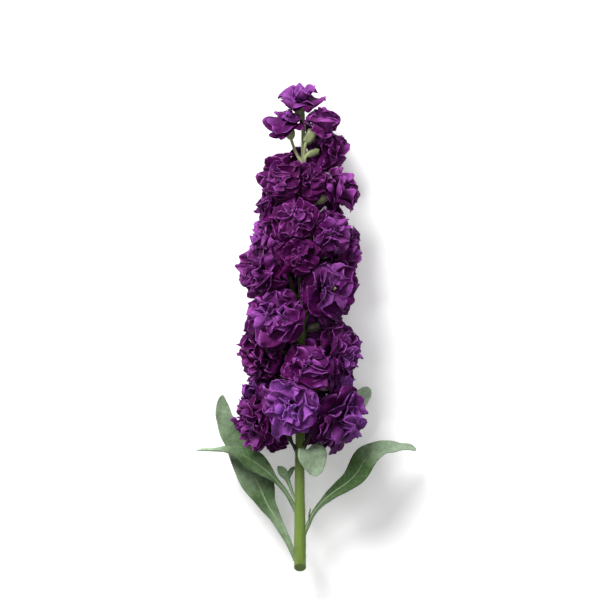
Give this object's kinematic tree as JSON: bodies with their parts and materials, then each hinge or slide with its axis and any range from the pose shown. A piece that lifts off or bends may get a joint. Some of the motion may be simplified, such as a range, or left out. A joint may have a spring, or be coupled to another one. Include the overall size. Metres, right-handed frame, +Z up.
{
  "type": "flower stem",
  "caption": "Cut stem of double-flowered stock, lying down: a green stem with narrow leaves at the foot and a dense spike of ruffled purple blooms.",
  "frame": {"origin": "on the surface it lies on, under the middle of the whole stem's length and width", "axes": "+Y along the stem from its cut end to its tip, +Z up from the surface, +X to the right as the picture shows it"},
  "size_m": [0.1289, 0.286, 0.0696],
  "materials": {
    "petal": "velvety purple petals, lighter along their rolled edges",
    "stem": "matt yellow-green stem with fine down",
    "leaf": "felted grey-green leaf"
  },
  "bodies": {
    "root": {"bloom_01": "petal", "bloom_02": "petal", "bloom_03": "petal", "bloom_04": "petal", "bloom_05": "petal", "bloom_06": "petal", "bloom_07": "petal", "bloom_08": "petal", "bloom_09": "petal", "bloom_10": "petal", "bloom_11": "petal", "bloom_12": "petal", "bloom_13": "petal", "bloom_14": "petal", "bloom_15": "petal", "bloom_16": "petal", "bloom_17": "petal", "bloom_18": "petal", "bloom_19": "petal", "bloom_20": "petal", "bloom_21": "petal", "bloom_22": "petal", "bloom_23": "petal", "bloom_24": "petal", "bloom_25": "petal", "bloom_26": "petal", "bloom_27": "petal", "bloom_28": "petal", "bloom_29": "petal", "bloom_30": "petal", "bloom_31": "petal", "bloom_32": "petal", "bloom_33": "petal", "bloom_34": "petal", "bloom_35": "petal", "bloom_36": "petal", "bloom_37": "petal", "bloom_38": "petal", "bloom_39": "petal", "bloom_40": "petal", "bloom_41": "petal", "bloom_42": "petal", "stem": "stem", "leaf_lower_left": "leaf", "leaf_upper_left": "leaf", "leaf_right": "leaf", "leaf_front": "leaf", "leaf_behind": "leaf", "axil_shoot": "leaf"}
  },
  "joints": []
}
